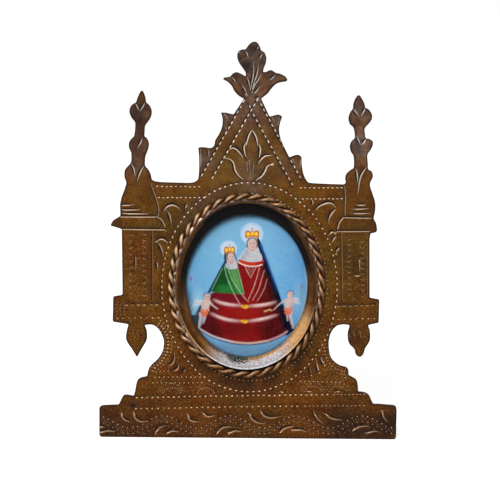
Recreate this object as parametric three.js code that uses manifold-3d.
// A miniature altar: a sawn brass plate in the outline of a pointed altarpiece, with a painted oval
// under glass in a bezel with a twisted wire border, standing on a hinged strut behind it.
// Millimetres, +Z up, front towards -Y, origin under the middle of the whole, on the table.
import * as THREE from 'three';
import { mergeVertices } from 'three/addons/utils/BufferGeometryUtils.js';
import Module from 'manifold-3d';

const wasm = await Module();
wasm.setup();

// Angles
const DEGREE = Math.PI / 180;
const LEAN = 12 * DEGREE;
const STRUT_OPENING = 26 * DEGREE;

// Clearances
const SEAT_GAP = 0.08;
const SLIDE_GAP = 0.15;
const OVERRUN = 1;

// Plate
const PLATE_WIDTH = 75;
const PLATE_HEIGHT = 100;
const PLATE_THICKNESS = 1.8;

// Oval: half widths of what is turned, and how much taller than wide all of it is
const OVAL_CENTER_X = -0.6;
const OVAL_CENTER_Z = 38.5;
const OVAL_RATIO = 1.18;
const OVAL_SIDES = 64;

// Bezel, from the half width of the picture that shows in it
const PICTURE_RADIUS = 15.35;
const RIM_HEIGHT = 2.2;
const HOLLOW_WIDTH = 2.15;
const RIM_WALL = 0.32;
const RIM_ROUND = 0.14;
const FLANGE_WIDTH = 0.42;
const TUBE_WALL = 0.5;
const LIP_DEPTH = 3.4;
const LIP_THICKNESS = 0.5;
const HOLLOW_STEPS = 7;

// Twisted border
const STRAND_RADIUS = 0.44;
const STRAND_OFFSET = 0.475;
const ROPE_GAP_BESIDE = 0.18;
const ROPE_GAP_ABOVE = 0.4;
const ROPE_TURNS = 20;
const ROPE_BUTT_GAP = 0.15;
const STRAND_SIDES = 6;
const STEPS_PER_TURN = 10;
const ARC_SAMPLES_PER_TURN = 60;

// Glass, plaque, card and cover
const GLASS_EDGE = 0.8;
const GLASS_RISE = 1.3;
const GLASS_RINGS = 4;
const MINIATURE_THICKNESS = 0.4;
const CARD_THICKNESS = 1.2;
const COVER_THICKNESS = 0.7;
const COVER_OVERHANG = 0.5;

// Retaining tabs
const TAB_WIDTH = 2.6;
const TAB_THICKNESS = 0.5;
const TAB_FOOT = 2.2;
const TAB_TONGUE = 2.4;
const TAB_ANGLES = [38, 142, 218, 322].map((angle) => angle * DEGREE);

// Hinge: its height on the cover is a share of the cover's half height
const HINGE_RISE_SHARE = 0.545;
const LEAF_WIDTH = 17;
const LEAF_HEIGHT = 8.4;
const LEAF_THICKNESS = 0.7;
const LEAF_CORNER = 1.2;
const EAR_SPACING = 6.4;
const EAR_THICKNESS = 0.8;
const EAR_RADIUS = 1.6;
const PIN_LIFT = 1.75;
const PIN_RADIUS = 0.7;
const PIN_FIT = 0.05;
const PIN_HEAD_RADIUS = 1.15;
const PIN_HEAD_THICKNESS = 0.5;
const RIVET_RADIUS = 0.6;
const RIVET_HEAD_RADIUS = 1.2;
const RIVET_HEAD_HEIGHT = 0.5;
const RIVET_EDGE = 2.2;
const ROUND_SIDES = 24;
const ARC_STEPS = 4;

// Strut
const STRUT_THICKNESS = 1;
const BARREL_RADIUS = 1.4;
const BARREL_FIT = 0.08;
const NECK_LENGTH = 3.4;
const SHOULDER_LENGTH = 1.6;
const STRUT_SHOULDER_WIDTH = 9;
const STRUT_WAIST_WIDTH = 10.5;
const STRUT_FOOT_WIDTH = 17;

// The plate's outline, clockwise from its lower left corner. Each row is one smooth run, and rows
// are joined by straight cuts. Shares of half the width from the middle, and of the height.
const OUTLINE_SHARES = [
  [[-0.979, 0], [-0.993, 0.002], [-0.998, 0.008]],
  [[-1, 0.066], [-0.997, 0.076], [-0.975, 0.08]],
  [[-0.87, 0.082], [-0.853, 0.095], [-0.839, 0.105], [-0.817, 0.107], [-0.769, 0.104]],
  [[-0.76, 0.117], [-0.749, 0.139], [-0.732, 0.149], [-0.681, 0.154]],
  [[-0.674, 0.167], [-0.666, 0.176], [-0.645, 0.186], [-0.612, 0.197], [-0.591, 0.208],
    [-0.575, 0.221], [-0.569, 0.239], [-0.576, 0.253], [-0.603, 0.272], [-0.646, 0.284], [-0.701, 0.283]],
  [[-0.686, 0.267], [-0.686, 0.246], [-0.718, 0.224], [-0.75, 0.202]],
  [[-0.782, 0.222], [-0.821, 0.244], [-0.822, 0.264], [-0.808, 0.285]],
  [[-0.915, 0.291]],
  [[-0.913, 0.355]],
  [[-0.85, 0.359]],
  [[-0.859, 0.525]],
  [[-0.936, 0.533]],
  [[-0.915, 0.547], [-0.869, 0.558]],
  [[-0.872, 0.586], [-0.863, 0.604], [-0.846, 0.621], [-0.831, 0.639]],
  [[-0.844, 0.657], [-0.841, 0.674], [-0.807, 0.689]],
  [[-0.798, 0.704], [-0.799, 0.716]],
  [[-0.815, 0.73], [-0.816, 0.742], [-0.802, 0.752], [-0.781, 0.759]],
  [[-0.775, 0.776], [-0.774, 0.792]],
  [[-0.799, 0.805], [-0.814, 0.818], [-0.811, 0.83], [-0.796, 0.839], [-0.771, 0.844]],
  [[-0.76, 0.857], [-0.744, 0.87], [-0.732, 0.875], [-0.72, 0.87], [-0.708, 0.857], [-0.704, 0.845]],
  [[-0.68, 0.838], [-0.666, 0.826], [-0.668, 0.812], [-0.682, 0.801], [-0.706, 0.789]],
  [[-0.712, 0.773], [-0.714, 0.76]],
  [[-0.692, 0.753], [-0.682, 0.741], [-0.688, 0.727], [-0.703, 0.713]],
  [[-0.708, 0.699], [-0.709, 0.688]],
  [[-0.683, 0.675], [-0.669, 0.664], [-0.662, 0.651]],
  [[-0.639, 0.646], [-0.584, 0.644], [-0.412, 0.643], [-0.369, 0.646], [-0.348, 0.654],
    [-0.342, 0.685], [-0.344, 0.713]],
  [[-0.35, 0.732]],
  [[-0.31, 0.733], [-0.267, 0.731], [-0.247, 0.735]],
  [[-0.234, 0.752], [-0.205, 0.77], [-0.189, 0.788], [-0.187, 0.803]],
  [[-0.199, 0.821]],
  [[-0.158, 0.82], [-0.114, 0.816]],
  [[-0.043, 0.857]],
  [[-0.08, 0.864], [-0.11, 0.876], [-0.128, 0.889], [-0.154, 0.899]],
  [[-0.187, 0.905], [-0.18, 0.909]],
  [[-0.139, 0.911], [-0.121, 0.919], [-0.096, 0.923], [-0.066, 0.919]],
  [[-0.035, 0.912]],
  [[-0.036, 0.924], [-0.06, 0.937], [-0.082, 0.949], [-0.093, 0.964], [-0.085, 0.975], [-0.062, 0.98]],
  [[-0.037, 0.98], [-0.013, 0.993], [0.016, 1], [0.041, 0.998], [0.057, 0.989], [0.067, 0.979]],
  [[0.093, 0.972], [0.104, 0.96], [0.1, 0.947], [0.087, 0.934], [0.08, 0.924]],
  [[0.104, 0.924], [0.134, 0.929], [0.167, 0.922]],
  [[0.196, 0.92], [0.232, 0.913], [0.248, 0.904]],
  [[0.233, 0.901], [0.182, 0.897], [0.146, 0.886], [0.117, 0.871]],
  [[0.07, 0.857]],
  [[0.129, 0.811]],
  [[0.162, 0.815], [0.189, 0.817], [0.214, 0.812]],
  [[0.199, 0.795], [0.193, 0.778], [0.204, 0.756], [0.229, 0.735], [0.264, 0.709]],
  [[0.295, 0.714], [0.324, 0.716], [0.346, 0.71]],
  [[0.348, 0.69], [0.359, 0.668], [0.383, 0.65], [0.413, 0.645], [0.534, 0.643], [0.634, 0.642]],
  [[0.647, 0.647], [0.641, 0.659], [0.649, 0.669], [0.673, 0.678], [0.699, 0.684]],
  [[0.7, 0.703], [0.697, 0.714]],
  [[0.676, 0.727], [0.671, 0.74], [0.682, 0.752], [0.704, 0.759]],
  [[0.703, 0.772], [0.697, 0.784]],
  [[0.667, 0.797], [0.66, 0.809], [0.669, 0.823], [0.688, 0.833]],
  [[0.692, 0.847], [0.707, 0.861], [0.728, 0.868], [0.746, 0.86], [0.766, 0.846], [0.77, 0.836]],
  [[0.8, 0.83], [0.818, 0.817], [0.811, 0.803], [0.772, 0.786]],
  [[0.771, 0.769], [0.776, 0.758]],
  [[0.802, 0.757], [0.825, 0.75], [0.818, 0.735], [0.791, 0.72]],
  [[0.79, 0.703], [0.793, 0.688], [0.794, 0.68]],
  [[0.819, 0.675], [0.827, 0.663], [0.809, 0.647]],
  [[0.81, 0.635], [0.825, 0.619], [0.843, 0.598], [0.844, 0.577], [0.834, 0.558]],
  [[0.852, 0.544], [0.858, 0.527], [0.848, 0.522], [0.814, 0.519]],
  [[0.808, 0.502]],
  [[0.812, 0.357]],
  [[0.877, 0.353]],
  [[0.874, 0.294]],
  [[0.802, 0.288]],
  [[0.816, 0.271], [0.815, 0.249], [0.784, 0.229], [0.773, 0.215], [0.748, 0.207], [0.722, 0.214],
    [0.713, 0.227], [0.677, 0.241], [0.667, 0.265], [0.681, 0.287]],
  [[0.643, 0.289], [0.596, 0.286], [0.558, 0.271], [0.541, 0.25], [0.54, 0.231], [0.549, 0.211],
    [0.571, 0.198], [0.613, 0.186], [0.66, 0.181], [0.673, 0.173], [0.673, 0.162]],
  [[0.702, 0.156], [0.727, 0.15], [0.737, 0.136], [0.739, 0.12]],
  [[0.783, 0.118], [0.81, 0.113], [0.827, 0.1], [0.842, 0.089]],
  [[0.886, 0.089]],
  [[0.985, 0.086], [0.996, 0.082], [1, 0.07]],
  [[0.997, 0.008], [0.992, 0.002], [0.979, 0]],
];
const POINTS_PER_SPAN = 2;

// Half widths of the turned pieces, and the twisted border's ring round the rim
const rimBore = PICTURE_RADIUS + HOLLOW_WIDTH;
const flangeRadius = rimBore + RIM_WALL;
const tubeRadius = flangeRadius - FLANGE_WIDTH;
const tubeBore = tubeRadius - TUBE_WALL;
const coverRadius = tubeRadius + COVER_OVERHANG;
const ropeReach = STRAND_OFFSET + STRAND_RADIUS;
const ringHalfWidth = flangeRadius + ropeReach + ROPE_GAP_BESIDE;
const ringHalfHeight = flangeRadius * OVAL_RATIO + ropeReach + ROPE_GAP_ABOVE;
const hingeRise = coverRadius * OVAL_RATIO * HINGE_RISE_SHARE;
const hingeHeight = OVAL_CENTER_Z + hingeRise;

// Places behind the plate's front face
const rimFront = -RIM_HEIGHT;
const lipFront = rimFront + LIP_DEPTH;
const lipBack = lipFront + LIP_THICKNESS;
const glassFront = lipBack + SEAT_GAP;
const glassBack = glassFront + GLASS_EDGE;
const miniatureFront = glassBack + SEAT_GAP;
const miniatureBack = miniatureFront + MINIATURE_THICKNESS;
const cardFront = miniatureBack + SEAT_GAP;
const cardBack = cardFront + CARD_THICKNESS;
const tubeEnd = cardBack + SEAT_GAP;
const coverFront = tubeEnd + SEAT_GAP;
const coverBack = coverFront + COVER_THICKNESS;
const leafFront = coverBack + SEAT_GAP;
const leafBack = leafFront + LEAF_THICKNESS;
const pinDepth = leafBack + PIN_LIFT;
const ropeFront = -(ropeReach + SEAT_GAP);

const BRASS_PLATE = new THREE.MeshStandardMaterial({ color: 0x6b4a22, metalness: 0.9, roughness: 0.42 });
const BRASS_SETTING = new THREE.MeshStandardMaterial({ color: 0x8a6236, metalness: 0.9, roughness: 0.36 });
const BRASS_WIRE = new THREE.MeshStandardMaterial({ color: 0xb98d62, metalness: 0.9, roughness: 0.32 });
const BRASS_REAR = new THREE.MeshStandardMaterial({ color: 0x94733c, metalness: 0.9, roughness: 0.4 });
const CLEAR_GLASS = new THREE.MeshStandardMaterial({ color: 0xe8f2f4, metalness: 0, roughness: 0.05 });
const PAINTED_PLAQUE = new THREE.MeshStandardMaterial({ color: 0x6aaed2, metalness: 0, roughness: 0.35 });
const GREY_BOARD = new THREE.MeshStandardMaterial({ color: 0x9a8f7c, metalness: 0, roughness: 0.9 });

// Solids: joining and cutting closed meshes
function solidOf(geometry) {
  const bare = geometry.clone();
  bare.deleteAttribute('normal');
  bare.deleteAttribute('uv');
  const merged = mergeVertices(bare);
  return new wasm.Manifold(new wasm.Mesh({
    numProp: 3,
    vertProperties: new Float32Array(merged.attributes.position.array),
    triVerts: new Uint32Array(merged.index.array),
  }));
}

function geometryOf(solid) {
  const mesh = solid.getMesh();
  const geometry = new THREE.BufferGeometry();
  geometry.setAttribute('position', new THREE.BufferAttribute(mesh.vertProperties, 3));
  geometry.setIndex(new THREE.BufferAttribute(mesh.triVerts, 1));
  geometry.computeVertexNormals();
  return geometry;
}

function named(name, geometry, material) {
  const mesh = new THREE.Mesh(geometry, material);
  mesh.name = name;
  return mesh;
}

// A flat outline in X and Z, as thick as asked, from the given depth backwards
function slab(shape, front, thickness, curveSegments = POINTS_PER_SPAN) {
  const geometry = new THREE.ExtrudeGeometry(shape, { depth: thickness, bevelEnabled: false, curveSegments });
  return geometry.rotateX(Math.PI / 2).translate(0, front + thickness, 0);
}

// A turned piece about the depth axis, stretched to the oval
function turnedOval(profile) {
  const points = profile.map(([radius, depth]) => new THREE.Vector2(radius, depth));
  return new THREE.LatheGeometry(points, OVAL_SIDES).scale(1, 1, OVAL_RATIO);
}

function ovalDisc(radius, front, back) {
  return turnedOval([[0, front], [radius, front], [radius, back], [0, back]]);
}

// A round rod along X or along the depth axis
function rodAlongX(radius, length) {
  return new THREE.CylinderGeometry(radius, radius, length, ROUND_SIDES).rotateZ(Math.PI / 2);
}

function rodAlongDepth(radius, front, back) {
  const rod = new THREE.CylinderGeometry(radius, radius, back - front, ROUND_SIDES);
  return rod.translate(0, (front + back) / 2, 0);
}

// Everything below the table, for a frame turned about X whose origin is at the given height
function belowTable(turn, originHeight) {
  const reach = PLATE_HEIGHT * 2;
  const box = new THREE.BoxGeometry(reach, reach, PLATE_HEIGHT);
  return box.translate(0, 0, -PLATE_HEIGHT / 2 - originHeight).rotateX(-turn);
}

// Front plate: the outline, the oval aperture, and a lower edge filed flat to the table
function plateOutline() {
  const shape = new THREE.Shape();
  OUTLINE_SHARES.forEach((run, index) => {
    const points = run.map(([x, z]) => new THREE.Vector2((x * PLATE_WIDTH) / 2, z * PLATE_HEIGHT));
    if (index === 0) shape.moveTo(points[0].x, points[0].y);
    else shape.lineTo(points[0].x, points[0].y);
    if (points.length > 1) shape.splineThru(points.slice(1));
  });
  return shape;
}

function frontPlate() {
  const shape = plateOutline();
  const halfWidth = tubeRadius + SEAT_GAP;
  const aperture = new THREE.EllipseCurve(OVAL_CENTER_X, OVAL_CENTER_Z, halfWidth, halfWidth * OVAL_RATIO);
  shape.holes.push(new THREE.Path(aperture.getPoints(OVAL_SIDES)));
  const plate = solidOf(slab(shape, 0, PLATE_THICKNESS));
  return geometryOf(plate.subtract(solidOf(belowTable(-LEAN, 0))));
}

// Bezel: rim in front, hollow wall down to the lip, and a tube through the plate
function bezel() {
  const hollow = [];
  for (let step = 0; step <= HOLLOW_STEPS; step += 1) {
    const turn = (step / HOLLOW_STEPS) * (Math.PI / 2);
    const radius = PICTURE_RADIUS + HOLLOW_WIDTH * Math.sin(turn);
    hollow.push([radius, rimFront + LIP_DEPTH * Math.cos(turn)]);
  }
  return turnedOval([
    [flangeRadius - RIM_ROUND, rimFront],
    [flangeRadius, rimFront + RIM_ROUND],
    [flangeRadius, -SEAT_GAP],
    [tubeRadius, -SEAT_GAP],
    [tubeRadius, tubeEnd],
    [tubeBore, tubeEnd],
    [tubeBore, lipBack],
    [PICTURE_RADIUS, lipBack],
    ...hollow,
    [flangeRadius - RIM_ROUND, rimFront],
  ]);
}

// Twisted border: each strand winds round an oval ring, a half turn apart from the other
class StrandPath extends THREE.Curve {
  constructor(startTurn) {
    super();
    this.startTurn = startTurn;
    this.ring = new THREE.EllipseCurve(0, 0, ringHalfWidth, ringHalfHeight);
    this.ring.arcLengthDivisions = ROPE_TURNS * ARC_SAMPLES_PER_TURN;
    this.arcLengthDivisions = ROPE_TURNS * ARC_SAMPLES_PER_TURN;
    this.startShare = ROPE_BUTT_GAP / this.ring.getLength();
  }

  getPoint(t, target = new THREE.Vector3()) {
    const share = this.startShare + t * (1 - 2 * this.startShare);
    const center = this.ring.getPointAt(share);
    const outward = new THREE.Vector2(center.x / ringHalfWidth ** 2, center.y / ringHalfHeight ** 2);
    outward.normalize().multiplyScalar(STRAND_OFFSET);
    const twist = share * ROPE_TURNS * Math.PI * 2 + this.startTurn;
    return target.set(
      center.x + outward.x * Math.cos(twist),
      ropeFront - STRAND_OFFSET * Math.sin(twist),
      center.y + outward.y * Math.cos(twist),
    );
  }
}

function ropeStrand(startTurn) {
  const section = new THREE.Shape();
  for (let side = 0; side < STRAND_SIDES; side += 1) {
    const turn = (side / STRAND_SIDES) * Math.PI * 2;
    const x = STRAND_RADIUS * Math.cos(turn);
    const y = STRAND_RADIUS * Math.sin(turn);
    if (side === 0) section.moveTo(x, y);
    else section.lineTo(x, y);
  }
  return new THREE.ExtrudeGeometry(section, {
    steps: ROPE_TURNS * STEPS_PER_TURN,
    extrudePath: new StrandPath(startTurn),
    bevelEnabled: false,
  });
}

// Glass: a flat flange behind the lip and a low dome inside it
function glass() {
  const domeRadius = PICTURE_RADIUS - SLIDE_GAP;
  const edgeRadius = tubeBore - SLIDE_GAP;
  const profile = [];
  for (let ring = 0; ring <= GLASS_RINGS; ring += 1) {
    const share = ring / GLASS_RINGS;
    profile.push([domeRadius * share, glassFront - GLASS_RISE * (1 - share ** 2)]);
  }
  return turnedOval([...profile, [edgeRadius, glassFront], [edgeRadius, glassBack], [0, glassBack]]);
}

// Retaining tabs: foot on the plate, riser beside the cover, tongue bent over it
function retainingTab(angle) {
  const foot = PLATE_THICKNESS + SEAT_GAP;
  const tongue = coverBack + SEAT_GAP;
  const section = new THREE.Shape();
  section.moveTo(0, foot);
  section.lineTo(TAB_FOOT, foot);
  section.lineTo(TAB_FOOT, foot + TAB_THICKNESS);
  section.lineTo(TAB_THICKNESS, foot + TAB_THICKNESS);
  section.lineTo(TAB_THICKNESS, tongue + TAB_THICKNESS);
  section.lineTo(-TAB_TONGUE, tongue + TAB_THICKNESS);
  section.lineTo(-TAB_TONGUE, tongue);
  section.lineTo(0, tongue);
  const geometry = new THREE.ExtrudeGeometry(section, { depth: TAB_WIDTH, bevelEnabled: false });
  const edge = new THREE.Vector2(coverRadius * Math.cos(angle), coverRadius * OVAL_RATIO * Math.sin(angle));
  const outward = new THREE.Vector2(Math.cos(angle), Math.sin(angle) / OVAL_RATIO).normalize();
  geometry.translate(SLIDE_GAP, 0, -TAB_WIDTH / 2).rotateY(-outward.angle());
  return geometry.translate(edge.x, 0, edge.y);
}

// Hinge bracket: a leaf with rounded corners and two ears, bored for pin and rivets
function leafOutline() {
  const x = LEAF_WIDTH / 2;
  const z = LEAF_HEIGHT / 2;
  const shape = new THREE.Shape();
  shape.moveTo(-x + LEAF_CORNER, -z);
  shape.absarc(x - LEAF_CORNER, -z + LEAF_CORNER, LEAF_CORNER, -Math.PI / 2, 0);
  shape.absarc(x - LEAF_CORNER, z - LEAF_CORNER, LEAF_CORNER, 0, Math.PI / 2);
  shape.absarc(-x + LEAF_CORNER, z - LEAF_CORNER, LEAF_CORNER, Math.PI / 2, Math.PI);
  shape.absarc(-x + LEAF_CORNER, -z + LEAF_CORNER, LEAF_CORNER, Math.PI, Math.PI * 1.5);
  return shape;
}

function ear(side) {
  const middle = side * (EAR_SPACING + EAR_THICKNESS) / 2;
  const sole = leafBack - LEAF_THICKNESS / 2;
  const block = new THREE.BoxGeometry(EAR_THICKNESS, pinDepth - sole, EAR_RADIUS * 2);
  const end = rodAlongX(EAR_RADIUS, EAR_THICKNESS).translate(middle, pinDepth, 0);
  return solidOf(block.translate(middle, (pinDepth + sole) / 2, 0)).add(solidOf(end));
}

function rivetPlaces() {
  const reach = LEAF_WIDTH / 2 - RIVET_EDGE;
  return [-reach, reach];
}

function rivetHole(x) {
  const hole = rodAlongDepth(RIVET_RADIUS + PIN_FIT, coverFront - OVERRUN, leafBack + OVERRUN);
  return solidOf(hole.translate(x, 0, 0));
}

function hingeBracket() {
  let solid = solidOf(slab(leafOutline(), leafFront, LEAF_THICKNESS, ARC_STEPS));
  solid = solid.add(ear(-1)).add(ear(1));
  const pinHole = rodAlongX(PIN_RADIUS + PIN_FIT, LEAF_WIDTH).translate(0, pinDepth, 0);
  solid = solid.subtract(solidOf(pinHole));
  rivetPlaces().forEach((x) => {
    solid = solid.subtract(rivetHole(x));
  });
  return geometryOf(solid);
}

function rearCover() {
  let solid = solidOf(ovalDisc(coverRadius, coverFront, coverBack));
  rivetPlaces().forEach((x) => {
    solid = solid.subtract(rivetHole(x).translate([-OVAL_CENTER_X, 0, hingeRise]));
  });
  return geometryOf(solid);
}

function bracketRivet() {
  const head = leafBack + SEAT_GAP;
  const profile = [[0, coverFront], [RIVET_RADIUS, coverFront], [RIVET_RADIUS, head], [RIVET_HEAD_RADIUS, head]];
  for (let step = 1; step < ARC_STEPS; step += 1) {
    const turn = (step / ARC_STEPS) * (Math.PI / 2);
    profile.push([RIVET_HEAD_RADIUS * Math.cos(turn), head + RIVET_HEAD_HEIGHT * Math.sin(turn)]);
  }
  profile.push([0, head + RIVET_HEAD_HEIGHT]);
  return new THREE.LatheGeometry(profile.map(([x, y]) => new THREE.Vector2(x, y)), ROUND_SIDES);
}

function hingePin() {
  const shank = EAR_SPACING / 2 + EAR_THICKNESS + SEAT_GAP;
  const end = shank + PIN_HEAD_THICKNESS;
  const profile = [
    [0, -end],
    [PIN_HEAD_RADIUS, -end],
    [PIN_HEAD_RADIUS, -shank],
    [PIN_RADIUS, -shank],
    [PIN_RADIUS, shank],
    [PIN_HEAD_RADIUS, shank],
    [PIN_HEAD_RADIUS, end],
    [0, end],
  ].map(([radius, x]) => new THREE.Vector2(radius, x));
  return new THREE.LatheGeometry(profile, ROUND_SIDES).rotateZ(Math.PI / 2);
}

// Strut: barrel on the pin, a heel above it that bears on the leaf, and a leg that flares to its foot
function strut(pinHeight) {
  const halfThickness = STRUT_THICKNESS / 2;
  const heelDrop = PIN_LIFT - SEAT_GAP - halfThickness * Math.cos(STRUT_OPENING);
  const heel = heelDrop / Math.sin(STRUT_OPENING);
  const legLength = pinHeight / Math.cos(STRUT_OPENING - LEAN);
  const end = legLength + STRUT_THICKNESS;
  const barrelLength = EAR_SPACING - 2 * SLIDE_GAP;
  const neck = barrelLength / 2;
  const shoulderEnd = NECK_LENGTH + SHOULDER_LENGTH;
  const waistEnd = (shoulderEnd + end) / 2;
  const shape = new THREE.Shape();
  shape.moveTo(-neck, heel);
  shape.lineTo(neck, heel);
  shape.lineTo(neck, -NECK_LENGTH);
  shape.lineTo(STRUT_SHOULDER_WIDTH / 2, -shoulderEnd);
  shape.splineThru([
    new THREE.Vector2(STRUT_WAIST_WIDTH / 2, -waistEnd),
    new THREE.Vector2(STRUT_FOOT_WIDTH / 2, -end),
  ]);
  shape.lineTo(-STRUT_FOOT_WIDTH / 2, -end);
  shape.splineThru([
    new THREE.Vector2(-STRUT_WAIST_WIDTH / 2, -waistEnd),
    new THREE.Vector2(-STRUT_SHOULDER_WIDTH / 2, -shoulderEnd),
  ]);
  shape.lineTo(-neck, -NECK_LENGTH);
  const leg = solidOf(slab(shape, -halfThickness, STRUT_THICKNESS, ARC_STEPS));
  const barrel = solidOf(rodAlongX(BARREL_RADIUS, barrelLength));
  const bore = solidOf(rodAlongX(PIN_RADIUS + BARREL_FIT, EAR_SPACING));
  const table = solidOf(belowTable(STRUT_OPENING - LEAN, pinHeight));
  return geometryOf(leg.add(barrel).subtract(bore).subtract(table));
}

// Assembly: the setting in the oval's own place, the hinge on the cover, and all of it leaning back
const pinHeight = hingeHeight * Math.cos(LEAN) - pinDepth * Math.sin(LEAN);

const setting = new THREE.Group();
setting.position.set(OVAL_CENTER_X, 0, OVAL_CENTER_Z);
setting.add(named('bezel', bezel(), BRASS_SETTING));
setting.add(named('rope_strand_a', ropeStrand(0), BRASS_WIRE));
setting.add(named('rope_strand_b', ropeStrand(Math.PI), BRASS_WIRE));
setting.add(named('glass', glass(), CLEAR_GLASS));
const plaqueRadius = tubeBore - SLIDE_GAP;
setting.add(named('miniature', ovalDisc(plaqueRadius, miniatureFront, miniatureBack), PAINTED_PLAQUE));
setting.add(named('backing_card', ovalDisc(plaqueRadius, cardFront, cardBack), GREY_BOARD));
setting.add(named('rear_cover', rearCover(), BRASS_REAR));
TAB_ANGLES.forEach((angle, index) => {
  setting.add(named(`retaining_tab_${index + 1}`, retainingTab(angle), BRASS_REAR));
});

const hinge = new THREE.Group();
hinge.position.set(0, 0, hingeHeight);
hinge.add(named('hinge_bracket', hingeBracket(), BRASS_REAR));
rivetPlaces().forEach((x, index) => {
  const rivet = named(`bracket_rivet_${index + 1}`, bracketRivet(), BRASS_REAR);
  rivet.position.x = x;
  hinge.add(rivet);
});
const pin = named('hinge_pin', hingePin(), BRASS_REAR);
pin.position.y = pinDepth;
hinge.add(pin);
const leg = named('strut', strut(pinHeight), BRASS_REAR);
leg.position.y = pinDepth;
leg.rotation.x = STRUT_OPENING;
hinge.add(leg);

const leaning = new THREE.Group();
leaning.rotation.x = -LEAN;
leaning.add(named('front_plate', frontPlate(), BRASS_PLATE), setting, hinge);

const altar = new THREE.Group();
altar.add(leaning);
altar.updateMatrixWorld(true);
const middle = new THREE.Box3().setFromObject(altar, true).getCenter(new THREE.Vector3());
leaning.position.x = -middle.x;
leaning.position.y = -middle.y;

export default altar;
